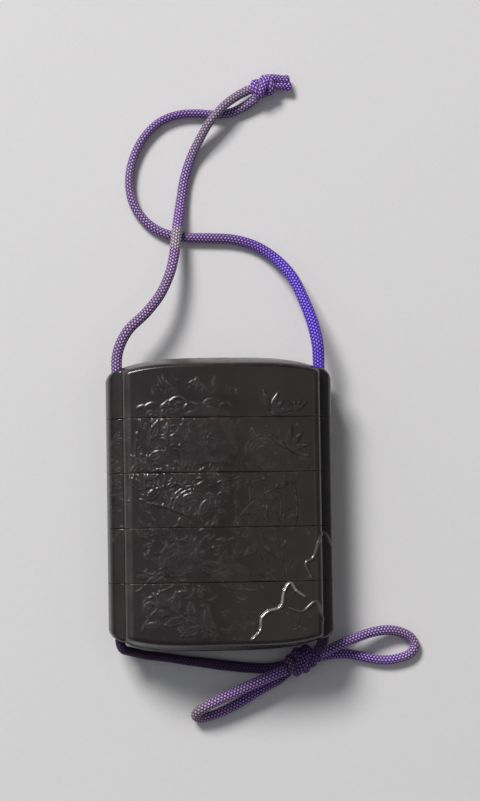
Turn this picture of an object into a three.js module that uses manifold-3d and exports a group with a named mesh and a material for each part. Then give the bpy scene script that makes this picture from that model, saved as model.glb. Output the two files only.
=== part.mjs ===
// Inro case: a lid and four nested trays of black lacquered wood, lying on its back, strung on one
// silk cord that runs down a runner on each narrow side, is tied in a bow below and knotted at its end.
// Millimetres. +Z up, +Y towards the lid, +X to the right. The origin is under the middle of the case.

import * as THREE from 'three';
import { mergeVertices } from 'three/addons/utils/BufferGeometryUtils.js';
import Module from 'manifold-3d';

const wasm = await Module();
wasm.setup();

// ---------------------------------------------------------------- case, driving dimensions
const BACK_FLAT = 0.25;             // depth of the flat that the back rests on
const HALF_THICKNESS = 12;          // panels, front to back, at the middle
const MID_Z = HALF_THICKNESS - BACK_FLAT;
const PANEL_HALF_WIDTH = 26.5;
const PANEL_RADIUS = 175;           // gentle curve of the front and back panels
const CORNER_RADIUS = 2;        // long edges of the panels
const HALF_LENGTH = 39.6;           // crown of the lid, and crown of the base
const CROWN_SIDE_DROP = 2.7;        // how far the domed ends fall off towards the runners
const CROWN_FACE_DROP = 2.3;        // and towards the panels
const CROWN_POWER = 3.5;
const RUNNER_REACH = 30.6;          // crest of the runner's ridge, from the middle
const RUNNER_ARCS = [               // the ridge's section, from its crest up to the panel's edge
  { radius: 14, until: 15 },        // degrees
  { radius: 2.4, until: 52 },
  { radius: 7, until: 90 },
];
const RUNNER_END = 36.8;            // the ridge stops short of the domed ends
const RUNNER_END_DROP = 2.8;        // and its outer corner is rounded off
const RUNNER_END_POWER = 2.4;
const RUNNER_FACE_DROP = 1.6;
const RUNNER_ROOT = 25.5;           // how deep the ridge is rooted in the case
const RUNNER_SHOULDER = 26.1;       // where its end starts to round off
const RUNNER_X = 27.5;              // axis of the cord's bore
const BORE_RADIUS = 1.9;
const BORE_SIDES = 12;
const MOUTH_RADIUS = 2.5;           // the bore flares at both ends of the case
const MOUTH_DEPTH = 2.4;
const LID_SEAM = 23.1;
const TRAY_PITCH = 14.65;
const TRAY_COUNT = 4;
const GAP = 0.3;                    // between pieces that touch
const SKIRT_HALF_WIDTH = 24.6;      // inside of the skirt that slips over the riser below
const SKIRT_HALF_THICKNESS = 10.5;
const RISER_WALL = 0.9;
const RISER_HEIGHT = 3.5;
const FLOOR = 1.5;
const END_WALL = 1.7;               // thickness of the domed top and underside
const SMALL_CORNER = 1.6;           // corners inside the case
const PANEL_FACETS = 2;             // half the facets along each arc of an outline
const RUNNER_FACETS = 1;
const INSIDE_FACETS = 2;

// ---------------------------------------------------------------- cord, driving dimensions
const CORD_RADIUS = 1.5;
const CORD_SIDES = 8;
const STRAND_STEP = 7.5;            // 2.5 diameters
const LOOP_STEP = 4.4;              // closer in the tight bends
const LIE_Z = 1.6;                  // centre of a cord that lies on the table
const MOUTH_Y = 35;                 // where the free cord starts, just inside a runner's mouth

// ---------------------------------------------------------------- materials
const material = (color, roughness) => new THREE.MeshStandardMaterial({ color, roughness, metalness: 0 });
const LACQUER = material(0x1c1a1c, 0.28);
const SILK = material(0x4d2f8c, 0.85);

// ---------------------------------------------------------------- solids and meshes
function toSolid(geometry) {
  const bare = geometry.clone();
  bare.deleteAttribute('normal');
  bare.deleteAttribute('uv');
  const merged = mergeVertices(bare, 1e-4);
  const vertProperties = Float32Array.from(merged.attributes.position.array);
  const triVerts = Uint32Array.from(merged.index.array);
  return new wasm.Manifold(new wasm.Mesh({ numProp: 3, vertProperties, triVerts }));
}

function toMesh(name, body, look) {
  const { vertProperties, triVerts } = body.getMesh();
  const geometry = new THREE.BufferGeometry();
  geometry.setAttribute('position', new THREE.BufferAttribute(Float32Array.from(vertProperties), 3));
  geometry.setIndex(new THREE.BufferAttribute(Uint32Array.from(triVerts), 1));
  return named(name, geometry, look);
}

function named(name, geometry, look) {
  geometry.computeVertexNormals();
  const mesh = new THREE.Mesh(geometry, look);
  mesh.name = name;
  return mesh;
}

const joined = (solids) => solids.reduce((whole, next) => whole.add(next));

// ---------------------------------------------------------------- case outlines, drawn across the length
// A rounded rectangle whose long sides bow outwards, all of arcs that meet smoothly.
function bowedOutline(halfWidth, halfThickness, radius, corner) {
  const cornerX = halfWidth - corner;
  const bowCentre = halfThickness - radius;
  const cornerZ = bowCentre + Math.sqrt((radius - corner) ** 2 - cornerX ** 2);
  const lean = Math.atan2(cornerX, cornerZ - bowCentre);
  const shape = new THREE.Shape();
  shape.absarc(cornerX, -cornerZ, corner, lean - Math.PI / 2, 0, false);
  shape.absarc(cornerX, cornerZ, corner, 0, Math.PI / 2 - lean, false);
  shape.absarc(0, bowCentre, radius, Math.PI / 2 - lean, Math.PI / 2 + lean, false);
  shape.absarc(-cornerX, cornerZ, corner, Math.PI / 2 + lean, Math.PI, false);
  shape.absarc(-cornerX, -cornerZ, corner, Math.PI, Math.PI * 1.5 - lean, false);
  shape.absarc(0, -bowCentre, radius, Math.PI * 1.5 - lean, Math.PI * 1.5 + lean, false);
  return shape;
}

const panelOutline = (rise) =>
  bowedOutline(PANEL_HALF_WIDTH + rise, HALF_THICKNESS + rise, PANEL_RADIUS + rise, CORNER_RADIUS + rise);

const insideOutline = (inset) =>
  bowedOutline(SKIRT_HALF_WIDTH - inset, SKIRT_HALF_THICKNESS - inset, PANEL_RADIUS, SMALL_CORNER);

// The upper half of a ridge's section as arcs that meet smoothly, from its crest to its root in the case.
function ridgeArcs(rise) {
  const arcs = [];
  let tip = [RUNNER_REACH, 0];
  let from = 0;
  for (const { radius, until } of RUNNER_ARCS) {
    const centre = [tip[0] - radius * Math.cos(from), tip[1] - radius * Math.sin(from)];
    const root = Math.acos((RUNNER_ROOT - centre[0]) / (radius + rise));
    const to = Math.min(THREE.MathUtils.degToRad(until), root);
    arcs.push({ centre, radius: radius + rise, from, to });
    tip = [centre[0] + radius * Math.cos(to), centre[1] + radius * Math.sin(to)];
    from = to;
  }
  return arcs;
}

// The ridge over a cord runner: a flat root buried in the case, a flattish top and a rounded crest.
function runnerOutline(side, rise) {
  const upper = ridgeArcs(rise);
  const lower = upper.map(({ centre: [x, z], radius, from, to }) =>
    ({ centre: [x, -z], radius, from: -to, to: -from }));
  const turn = side > 0 ? 0 : Math.PI;
  const shape = new THREE.Shape();
  for (const { centre: [x, z], radius, from, to } of [...lower.reverse(), ...upper]) {
    shape.absarc(side * x, side * z, radius, turn + from, turn + to, false);
  }
  return shape;
}

function prism(shape, low, high, curveSegments) {
  const options = { depth: high - low, bevelEnabled: false, curveSegments };
  const geometry = new THREE.ExtrudeGeometry(shape, options);
  return toSolid(geometry.rotateX(Math.PI / 2).translate(0, high, MID_Z));
}

// ---------------------------------------------------------------- domed ends
function crown(x, z) {
  const aside = Math.abs(x) / PANEL_HALF_WIDTH;
  const forward = (z - MID_Z) / HALF_THICKNESS;
  return HALF_LENGTH - CROWN_SIDE_DROP * aside ** CROWN_POWER - CROWN_FACE_DROP * forward ** 2;
}

function runnerCrown(x, z) {
  const out = Math.max(0, Math.abs(x) - RUNNER_SHOULDER) / (RUNNER_REACH - RUNNER_SHOULDER);
  const forward = (z - MID_Z) / HALF_THICKNESS;
  return RUNNER_END - RUNNER_END_DROP * out ** RUNNER_END_POWER - RUNNER_FACE_DROP * forward ** 2;
}

const BLOCK_WIDTH = 66;
const BLOCK_THICKNESS = 30;
const DOME_GRID = [14, 6];

// A block across the whole case. Its low and high faces are at a fixed y, or follow a function.
function block(low, high) {
  const domed = typeof low === 'function' || typeof high === 'function';
  const [columns, rows] = domed ? DOME_GRID : [1, 1];
  const geometry = new THREE.BoxGeometry(BLOCK_WIDTH, 2, BLOCK_THICKNESS, columns, 1, rows);
  geometry.translate(0, 0, MID_Z);
  const place = geometry.attributes.position;
  for (let i = 0; i < place.count; i += 1) {
    const x = place.getX(i);
    const z = place.getZ(i);
    const face = place.getY(i) > 0 ? high : low;
    place.setY(i, typeof face === 'function' ? face(x, z) : face);
  }
  return toSolid(geometry);
}

// ---------------------------------------------------------------- relief on the front panel
const RELIEF_LOW = 0.2;
const RELIEF_MID = 0.35;
const RELIEF_HIGH = 0.55;
const STEM_WIDTH = 0.8;
const STEM_STEPS = 6;
const LEAF_STEPS = 4;               // along each edge of a leaf
const LEAF_BELLY = 0.8;             // under 1 puts a leaf's widest place nearer its stalk
const LEAF_LEAN = 52;               // degrees, from the stem
const PETAL_STEPS = 4;
const PETAL_DEPTH = 0.16;           // of a blossom's radius
const BAMBOO_WIDTH = 1.5;
const BAMBOO_BLADES = [[-58, 5.2], [-24, 7], [8, 7.6], [42, 5.6]];
const BUMP_STEPS = 4;

function outline(points) {
  return new THREE.Shape(points.map(([x, y]) => new THREE.Vector2(x, y)));
}

// A band along a line of points, narrowing to its ends.
function band(points, width, steps) {
  const places = points.map(([x, y]) => new THREE.Vector3(x, y, 0));
  const line = new THREE.CatmullRomCurve3(places, false, 'centripetal');
  const left = [];
  const right = [];
  for (let i = 0; i <= steps; i += 1) {
    const t = i / steps;
    const at = line.getPoint(t);
    const along = line.getTangent(t);
    const half = (width / 2) * (0.35 + 0.65 * Math.sin(Math.PI * t) ** 0.5);
    left.push([at.x - along.y * half, at.y + along.x * half]);
    right.unshift([at.x + along.y * half, at.y - along.x * half]);
  }
  return outline(left.concat(right));
}

// A pointed leaf from its stalk at x, y, turned by angle in degrees.
function leaf(x, y, length, width, angle) {
  const turn = THREE.MathUtils.degToRad(angle);
  const rim = [];
  for (const side of [1, -1]) {
    for (let i = 0; i < LEAF_STEPS; i += 1) {
      const t = side > 0 ? i / LEAF_STEPS : 1 - i / LEAF_STEPS;
      const out = (side * width * Math.sin(Math.PI * t ** LEAF_BELLY)) / 2;
      const along = length * t;
      rim.unshift([
        x + along * Math.cos(turn) - out * Math.sin(turn),
        y + along * Math.sin(turn) + out * Math.cos(turn),
      ]);
    }
  }
  return outline(rim);
}

// A ring of rounded petals.
function rosette(x, y, radius, petals, turn) {
  const steps = petals * PETAL_STEPS;
  const rim = [];
  for (let i = 0; i < steps; i += 1) {
    const angle = (2 * Math.PI * i) / steps;
    const lobe = Math.abs(Math.cos((petals * angle) / 2)) ** 0.6;
    const out = radius * (1 - PETAL_DEPTH * (1 - lobe));
    rim.push([x + out * Math.cos(angle + turn), y + out * Math.sin(angle + turn)]);
  }
  return outline(rim);
}

// A bent stem with leaves to both sides and one at its tip.
function spray(x, y, angle, length, bend, leaves, leafLength, leafWidth) {
  const points = [];
  const figures = [];
  const stride = length / STEM_STEPS;
  let at = [x, y];
  for (let i = 0; i <= STEM_STEPS; i += 1) {
    points.push(at);
    const heading = THREE.MathUtils.degToRad(angle + (bend * i) / STEM_STEPS);
    at = [at[0] + stride * Math.cos(heading), at[1] + stride * Math.sin(heading)];
  }
  figures.push({ shape: band(points, STEM_WIDTH, STEM_STEPS), rise: RELIEF_LOW });
  const stem = new THREE.CatmullRomCurve3(points.map(([px, py]) => new THREE.Vector3(px, py, 0)));
  for (let i = 0; i < leaves; i += 1) {
    const t = (i + 0.8) / leaves;
    const root = stem.getPoint(Math.min(t, 1));
    const side = i % 2 ? 1 : -1;
    const lean = i === leaves - 1 ? 0 : side * LEAF_LEAN;
    const shape = leaf(root.x, root.y, leafLength, leafWidth, angle + bend * t + lean);
    figures.push({ shape, rise: RELIEF_MID });
  }
  return figures;
}

function bambooFan(x, y, angle) {
  return BAMBOO_BLADES.map(([lean, length]) => {
    const shape = leaf(x, y, length, BAMBOO_WIDTH, angle + lean);
    return { shape, rise: RELIEF_MID };
  });
}

function blossom(x, y, size) {
  return [
    { shape: rosette(x, y, size, 9, 0.2), rise: RELIEF_LOW },
    { shape: rosette(x, y, size * 0.68, 7, 0.5), rise: RELIEF_MID },
    { shape: rosette(x, y, size * 0.34, 5, 0.1), rise: RELIEF_HIGH },
  ];
}

// The edge of a cloud bank: a run of bumps.
function cloudEdge(x, y, bumps, pitch, height, slope) {
  const points = [];
  for (let i = 0; i <= bumps * BUMP_STEPS; i += 1) {
    const t = i / BUMP_STEPS;
    points.push([x + pitch * t, y + slope * t + height * Math.abs(Math.sin(Math.PI * t))]);
  }
  return { shape: band(points, STEM_WIDTH, bumps * BUMP_STEPS), rise: RELIEF_LOW };
}

// Rocks in the lower right corner: three high crest lines, the last one over the right-hand runner.
const ROCK_WIDTH = 1.15;
const ROCK_CRESTS = [
  [[6.6, -36.2], [9, -33.8], [9.5, -30.4], [11.4, -28.7], [14.6, -27.6], [15.7, -23.4], [17.4, -21.3],
    [19, -23.4], [21.4, -25.1]],
  [[17, -28], [20.6, -28.9], [24.4, -26.4], [25.6, -29.2], [26.8, -32.6]],
  [[23.4, -20.5], [21.7, -16.2], [23.8, -14.7], [25.3, -10.4], [26.8, -8.1], [28.3, -9.3], [29.2, -11.6]],
];

function rockCrest(points) {
  return { shape: band(points, ROCK_WIDTH, points.length * 2), rise: RELIEF_HIGH };
}

function frontFigures() {
  return [
    ...ROCK_CRESTS.map(rockCrest),
    ...blossom(-4.5, 18.4, 8.2),
    ...blossom(-13.2, -14.9, 4.6),
    ...spray(-20.6, -1, 96, 19, -26, 7, 6, 2.5),
    ...spray(-5.5, -5.4, 118, 15, -34, 5, 6.4, 2.7),
    ...spray(-5, -18.6, 16, 12, 24, 5, 5.4, 2.3),
    ...spray(-2.6, -34.4, 158, 15, -20, 6, 6.2, 2.4),
    ...spray(3.5, -4, 50, 14, -30, 4, 4.2, 1.7),
    ...bambooFan(12.6, 24.6, 26),
    ...bambooFan(17.2, 14.4, 40),
    cloudEdge(-21.8, 26, 3, 2.5, 1.2, 0.3),
    cloudEdge(-12.6, 26.6, 5, 3.1, 1.4, 0.1),
    ...[150, 118, 62, 35].map((angle) => ({ shape: leaf(-11.6, 30, 3.4, 1.3, angle), rise: RELIEF_LOW })),
  ];
}

// The whole skin of the case, raised: panels and both ridges.
function skin(rise) {
  const reach = HALF_LENGTH - 2;
  const sides = [-1, 1].map((side) => prism(runnerOutline(side, rise), -reach, reach, RUNNER_FACETS));
  return joined([prism(panelOutline(rise), -reach, reach, PANEL_FACETS), ...sides]);
}

function carvedRelief() {
  const figures = frontFigures();
  const layers = [RELIEF_LOW, RELIEF_MID, RELIEF_HIGH].map((rise) => {
    const shapes = figures.filter((figure) => figure.rise === rise).map((figure) => figure.shape);
    const standing = shapes.map((shape) => {
      const options = { depth: HALF_THICKNESS, bevelEnabled: false };
      const root = MID_Z + HALF_THICKNESS / 2;
      return toSolid(new THREE.ExtrudeGeometry(shape, options).translate(0, 0, root));
    });
    return joined(standing).intersect(skin(rise));
  });
  return joined(layers);
}

// ---------------------------------------------------------------- lid and trays
function shell(low, high, runnerLow, runnerHigh) {
  const reach = HALF_LENGTH + 1;
  const panels = prism(panelOutline(0), -reach, reach, PANEL_FACETS).intersect(block(low, high));
  const ridges = joined([-1, 1].map((side) => prism(runnerOutline(side, 0), -reach, reach, RUNNER_FACETS)));
  return panels.add(ridges.intersect(block(runnerLow, runnerHigh)));
}

function bores() {
  return joined([-1, 1].map((side) => {
    const straight = RUNNER_END - MOUTH_DEPTH;
    const outside = HALF_LENGTH + 2;
    const half = [[0, 0], [BORE_RADIUS, 0], [BORE_RADIUS, straight], [MOUTH_RADIUS, RUNNER_END],
      [MOUTH_RADIUS, outside], [0, outside]];
    const profile = half.map(([radius, y]) => new THREE.Vector2(radius, y));
    const up = new THREE.LatheGeometry(profile, BORE_SIDES);
    const down = new THREE.LatheGeometry(profile, BORE_SIDES).rotateX(Math.PI);
    return joined([up, down].map((end) => toSolid(end.translate(side * RUNNER_X, 0, MID_Z))));
  }));
}

function belowTable() {
  const depth = 10;
  return toSolid(new THREE.BoxGeometry(BLOCK_WIDTH, 3 * HALF_LENGTH, depth).translate(0, 0, -depth / 2));
}

// One section of the case. index 0 is the lid, TRAY_COUNT the base.
function section(index, relief, bore, table) {
  const isLid = index === 0;
  const isBase = index === TRAY_COUNT;
  const high = isLid ? HALF_LENGTH : LID_SEAM - (index - 1) * TRAY_PITCH - GAP / 2;
  const low = isBase ? -HALF_LENGTH : LID_SEAM - index * TRAY_PITCH + GAP / 2;
  const top = isLid ? crown : high;
  const bottom = isBase ? (x, z) => -crown(x, z) : low;
  const runnerTop = isLid ? runnerCrown : high;
  const runnerBottom = isBase ? (x, z) => -runnerCrown(x, z) : low;

  let body = shell(bottom, top, runnerBottom, runnerTop).add(relief.intersect(block(low, high)));
  if (!isLid) {
    body = body.add(prism(insideOutline(GAP), high - FLOOR, high + RISER_HEIGHT, INSIDE_FACETS));
  }
  if (!isBase) {
    body = body.subtract(prism(insideOutline(0), low - FLOOR, low + RISER_HEIGHT, INSIDE_FACETS));
  }
  const flatFloor = isLid ? low - FLOOR : low + RISER_HEIGHT + FLOOR;
  const floor = isBase ? (x, z) => END_WALL - crown(x, z) : flatFloor;
  const ceiling = isLid ? (x, z) => crown(x, z) - END_WALL : high + RISER_HEIGHT + FLOOR;
  const inside = prism(insideOutline(GAP + RISER_WALL), -HALF_LENGTH, HALF_LENGTH, INSIDE_FACETS);
  const hollow = inside.intersect(block(floor, ceiling));
  return body.subtract(hollow).subtract(bore).subtract(table);
}

function caseSections() {
  const relief = carvedRelief();
  const bore = bores();
  const table = belowTable();
  const meshes = [];
  for (let index = 0; index <= TRAY_COUNT; index += 1) {
    const name = index === 0 ? 'lid' : `case_${index}`;
    meshes.push(toMesh(name, section(index, relief, bore, table), LACQUER));
  }
  return meshes;
}

// ---------------------------------------------------------------- cord
// Hand-laid routes. The free strands leave a runner's mouth level, sink to the table and lie on it.
const LEFT_STRAND = [
  [-RUNNER_X, MOUTH_Y, MID_Z], [-RUNNER_X, 39.6, MID_Z], [-26.6, 43.2, 12], [-24.2, 47.4, 12],
  [-19.4, 52, 11.2], [-15.4, 57, 10], [-12.6, 62.8, 8.4], [-11.2, 68, 6.9], [-10.4, 73.2, 5.4],
  [-9.6, 78.2, 3.5], [-8.6, 84, 1.9], [-7.5, 90, LIE_Z], [-5.7, 95.6, 2], [-3.2, 100.8, 3.6],
  [-0.4, 105.4, 5.1], [3.2, 109.4, 5.1], [7, 112.3, 4], [10.2, 114.1, 3.4],
];
const RIGHT_STRAND = [
  [RUNNER_X, MOUTH_Y, MID_Z], [RUNNER_X, 39.4, MID_Z], [27.3, 43, 11.8], [26.2, 49, 10.6],
  [24, 55.9, 8.2], [21.2, 62.5, 5.4], [16.9, 67.6, 3], [11.7, 71.1, 1.8], [5.6, 72.9, LIE_Z],
  [-0.7, 73.3, LIE_Z], [-6.8, 73.5, LIE_Z], [-12, 74.2, LIE_Z], [-15.9, 75.9, LIE_Z],
  [-19.2, 78.7, LIE_Z], [-21.7, 82.7, LIE_Z], [-22.8, 87.7, LIE_Z], [-22.4, 92.8, LIE_Z],
  [-20.7, 97.8, LIE_Z], [-17.8, 102.3, LIE_Z], [-13.8, 105.8, LIE_Z], [-8.7, 107.6, LIE_Z],
  [-3.6, 107.9, LIE_Z], [1.2, 107.6, LIE_Z], [5.6, 108.2, LIE_Z], [9.2, 109.8, 1.8], [12.4, 111.9, 2.4],
];
const BASE_STRAND = [
  [-RUNNER_X, -MOUTH_Y, MID_Z], [-RUNNER_X, -37, MID_Z], [-26.7, -38.7, 10.5], [-25, -39.4, 8.7],
  [-23, -40, 6.7], [-20.5, -40.7, 5], [-17.4, -41.2, 3.7], [-13.7, -41.8, 2.6], [-9.4, -42.6, 1.9],
  [-4.5, -43.3, LIE_Z], [1.6, -44.2, LIE_Z], [7.4, -44.9, LIE_Z], [12, -45.2, 2], [15, -45, 2.8],
  [17, -44.6, 3.4],
];
const FOOT_STRAND = [
  [RUNNER_X, -MOUTH_Y, MID_Z], [RUNNER_X, -36.8, MID_Z], [27.2, -38.6, 11.2], [26.4, -40.2, 9.8],
];
const RIGHT_LOOP = [
  [27, -41.4, 6.9], [29.6, -40.3, 6.9], [33, -38.8, 6.6], [37.4, -37.2, 5.7], [41.9, -35.9, 4.6],
  [46.5, -35.4, 3.4], [50.4, -36.1, 2.3], [53.3, -37.7, LIE_Z], [54.4, -39.8, LIE_Z],
  [53.2, -41.9, LIE_Z], [50.2, -43.2, LIE_Z], [46.2, -43.7, LIE_Z], [42.5, -43.3, LIE_Z],
  [38.8, -42.4, LIE_Z], [35.4, -41.8, 1.8], [31.4, -41.8, 2.4], [27.4, -42.4, 3.2],
];
const LEFT_LOOP = [
  [17.8, -45.4, 6.8], [13.4, -47.1, 7.2], [8.6, -49.1, 7.4], [3.6, -51.2, 7.2], [-1, -53.3, 6.8],
  [-4.6, -55.2, 5.9], [-6.4, -56.6, 4.5], [-6.6, -57.8, 2.9], [-5.2, -58.4, 1.8],
  [-2.8, -57.9, LIE_Z], [0, -57, LIE_Z], [3.2, -55.6, LIE_Z], [6.6, -53.8, LIE_Z],
  [10.2, -51.6, LIE_Z], [13.4, -49.8, 1.7], [16.5, -48.1, 2.4],
];

function cordTube(name, route, step) {
  const points = route.map(([x, y, z]) => new THREE.Vector3(x, y, z));
  const path = new THREE.CatmullRomCurve3(points, false, 'centripetal');
  const section = new THREE.Shape();
  for (let i = 0; i < CORD_SIDES; i += 1) {
    const angle = (2 * Math.PI * i) / CORD_SIDES;
    const x = CORD_RADIUS * Math.cos(angle);
    const y = CORD_RADIUS * Math.sin(angle);
    if (i === 0) {
      section.moveTo(x, y);
    } else {
      section.lineTo(x, y);
    }
  }
  const steps = Math.max(2, Math.round(path.getLength() / step));
  const geometry = new THREE.ExtrudeGeometry(section, { steps, extrudePath: path, bevelEnabled: false });
  return named(name, geometry, SILK);
}

function heldCord(side) {
  const inside = MOUTH_Y - GAP;
  const name = side < 0 ? 'cord_in_left_runner' : 'cord_in_right_runner';
  return cordTube(name, [[side * RUNNER_X, -inside, MID_Z], [side * RUNNER_X, inside, MID_Z]], 2 * inside);
}

const LUMP_SIDES = [8, 6];
const TURN_SIDES = [5, 8];
const TURN_TILTS = [-0.32, 0.34];   // how the two turns of a knot lean apart
const TURN_SIZE = 0.36;             // radius of a turn, of the knot's width
const TURN_FULLNESS = 0.8;          // thickness of a turn, of the cord's
const END_KNOT = { place: [14.5, 115.1, 3.2], turn: 0.42, size: [6.8, 6, 5.4] };
const BOW_KNOT = { place: [22.3, -43, 4.9], turn: 0.5, size: [8.8, 8.2, 7.6] };
const TAIL_LENGTH = 6;
const TAIL_RADIUS = 1.28;           // pulled thin by the knot
const TAIL_LEAN = 0.26;             // the cut ends lean away from the line of the knot
const TAIL_SPREAD = 0.08;           // and a little apart
const TAIL_MIDDLES = [[5, -2.35, -0.3], [5, -0.25, -0.7]];

// A pulled-tight knot: a rounded lump with two turns standing proud of it.
function knotLump([length, width, height]) {
  const lump = new THREE.SphereGeometry(1, ...LUMP_SIDES).scale(length / 2, width / 2, height / 2);
  const turns = TURN_TILTS.map((tilt) => {
    const turn = new THREE.TorusGeometry(width * TURN_SIZE, CORD_RADIUS * TURN_FULLNESS, ...TURN_SIDES);
    turn.scale(1, height / width, 1).rotateY(Math.PI / 2 + tilt);
    return turn.translate(tilt * CORD_RADIUS * 2, 0, 0);
  });
  return joined([lump, ...turns].map(toSolid));
}

function tail(middle, spread) {
  const rod = new THREE.CylinderGeometry(TAIL_RADIUS, TAIL_RADIUS, TAIL_LENGTH, CORD_SIDES);
  return toSolid(rod.rotateZ(Math.PI / 2 - TAIL_LEAN + spread).translate(...middle));
}

function knot(name, { place, turn, size }, tails) {
  const mesh = toMesh(name, joined([knotLump(size), ...tails]), SILK);
  mesh.position.set(...place);
  mesh.rotation.z = turn;
  return mesh;
}

const cutEnds = TAIL_MIDDLES.map((middle, i) => tail(middle, i === 0 ? -TAIL_SPREAD : TAIL_SPREAD));

// ---------------------------------------------------------------- the whole object
const inro = new THREE.Group();
inro.add(...caseSections());
inro.add(heldCord(-1), heldCord(1));
inro.add(cordTube('cord_left_strand', LEFT_STRAND, STRAND_STEP));
inro.add(cordTube('cord_right_strand', RIGHT_STRAND, STRAND_STEP));
inro.add(cordTube('cord_under_base', BASE_STRAND, LOOP_STEP));
inro.add(cordTube('cord_right_foot', FOOT_STRAND, LOOP_STEP));
inro.add(cordTube('bow_loop_right', RIGHT_LOOP, LOOP_STEP));
inro.add(cordTube('bow_loop_left', LEFT_LOOP, LOOP_STEP));
inro.add(knot('end_knot', END_KNOT, cutEnds), knot('bow_knot', BOW_KNOT, []));

export default inro;
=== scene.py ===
"""Inro case: a lid and four nested trays of black lacquered wood on a silk cord, lying on its back.

Lengths are in millimetres until a mesh is written. +Z is up out of the carved front, +Y towards the lid.
"""
import math

import bpy
import numpy as np
from mathutils import Matrix, Vector


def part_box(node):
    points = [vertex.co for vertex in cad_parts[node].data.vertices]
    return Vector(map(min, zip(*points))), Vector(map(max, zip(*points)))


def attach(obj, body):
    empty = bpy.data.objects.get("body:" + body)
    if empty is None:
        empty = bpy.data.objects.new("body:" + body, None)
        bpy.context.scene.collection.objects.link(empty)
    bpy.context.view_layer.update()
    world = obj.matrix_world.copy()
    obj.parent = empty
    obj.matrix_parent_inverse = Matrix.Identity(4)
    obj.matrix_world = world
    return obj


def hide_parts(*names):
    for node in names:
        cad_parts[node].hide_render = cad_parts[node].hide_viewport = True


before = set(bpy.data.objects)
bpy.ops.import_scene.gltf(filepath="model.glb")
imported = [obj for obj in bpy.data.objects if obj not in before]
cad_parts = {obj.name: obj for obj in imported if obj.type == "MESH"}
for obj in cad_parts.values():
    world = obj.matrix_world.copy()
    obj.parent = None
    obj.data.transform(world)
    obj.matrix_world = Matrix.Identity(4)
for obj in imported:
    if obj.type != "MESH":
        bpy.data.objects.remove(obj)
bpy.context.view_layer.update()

MM = 0.001


def span(node, axis):
    """Lowest and highest place of a CAD node along an axis, in millimetres."""
    low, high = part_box(node)
    return low[axis] / MM, high[axis] / MM


# ------------------------------------------------------------------ sizes, in millimetres
X, Y = 0, 1
HALF_LENGTH = span("lid", Y)[1]
RUNNER_REACH = span("lid", X)[1]    # from the middle of the case to the crest of a ridge
BACK_FLAT = 0.25                    # depth rubbed off the bowed back, which the case rests on
HALF_THICKNESS = 12.0
MID_Z = HALF_THICKNESS - BACK_FLAT
PANEL_HALF_WIDTH = 26.5
PANEL_RADIUS = 175.0                # of the bowed front and back
CORNER_RADIUS = 2.0                 # of the long edges
CROWN_SIDE_DROP = 2.7               # how far a dome falls from its middle to the sides
CROWN_FACE_DROP = 2.3               # and to the front and back
CROWN_POWER = 3.5                   # the higher, the flatter the dome's middle
RUNNER_ARCS = [(14.0, 15), (2.4, 52), (7.0, 90)]    # radius, and the degrees from the crest where it ends
RUNNER_END = 36.8                   # from the middle of the case to the end of a ridge
RUNNER_END_DROP = 2.8
RUNNER_END_POWER = 2.4
RUNNER_FACE_DROP = 1.6
RUNNER_SHOULDER = 26.1              # where a dome starts to pass into the ridge's end
RUNNER_X = 27.5
BORE_RADIUS = 1.9
GAP = 0.3                           # between neighbours, and between a riser and the wall round it
SKIRT_HALF_WIDTH = 24.6             # inside the wall that takes the riser
SKIRT_HALF_THICKNESS = 10.5
SMALL_CORNER = 1.6                  # of the inner walls
RISER_WALL = 0.9
RISER_HEIGHT = 3.5
FLOOR = 1.5
END_WALL = 1.7                      # thickness of both domes
CORD_RADIUS = 1.5
TRAYS = ["case_1", "case_2", "case_3", "case_4"]


# ------------------------------------------------------------------ cord routes, as laid out in the CAD part
LEFT_STRAND = [
    (-27.5, 35, 11.75), (-27.5, 39.6, 11.75), (-26.6, 43.2, 12), (-24.2, 47.4, 12), (-19.4, 52, 11.2),
    (-15.4, 57, 10), (-12.6, 62.8, 8.4), (-11.2, 68, 6.9), (-10.4, 73.2, 5.4), (-9.6, 78.2, 3.5),
    (-8.6, 84, 1.9), (-7.5, 90, 1.6), (-5.7, 95.6, 2), (-3.2, 100.8, 3.6), (-0.4, 105.4, 5.1),
    (3.2, 109.4, 5.1), (7, 112.3, 4), (10.2, 114.1, 3.4),
]
RIGHT_STRAND = [
    (27.5, 35, 11.75), (27.5, 39.4, 11.75), (27.3, 43, 11.8), (26.2, 49, 10.6), (24, 55.9, 8.2),
    (21.2, 62.5, 5.4), (16.9, 67.6, 3), (11.7, 71.1, 1.8), (5.6, 72.9, 1.6), (-0.7, 73.3, 1.6),
    (-6.8, 73.5, 1.6), (-12, 74.2, 1.6), (-15.9, 75.9, 1.6), (-19.2, 78.7, 1.6), (-21.7, 82.7, 1.6),
    (-22.8, 87.7, 1.6), (-22.4, 92.8, 1.6), (-20.7, 97.8, 1.6), (-17.8, 102.3, 1.6), (-13.8, 105.8, 1.6),
    (-8.7, 107.6, 1.6), (-3.6, 107.9, 1.6), (1.2, 107.6, 1.6), (5.6, 108.2, 1.6), (9.2, 109.8, 1.8),
    (12.4, 111.9, 2.4),
]
BASE_STRAND = [
    (-27.5, -35, 11.75), (-27.5, -37, 11.75), (-26.7, -38.7, 10.5), (-25, -39.4, 8.7), (-23, -40, 6.7),
    (-20.5, -40.7, 5), (-17.4, -41.2, 3.7), (-13.7, -41.8, 2.6), (-9.4, -42.6, 1.9), (-4.5, -43.3, 1.6),
    (1.6, -44.2, 1.6), (7.4, -44.9, 1.6), (12, -45.2, 2), (15, -45, 2.8), (17, -44.6, 3.4),
]
FOOT_STRAND = [(27.5, -35, 11.75), (27.5, -36.8, 11.75), (27.2, -38.6, 11.2), (26.4, -40.2, 9.8)]
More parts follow.
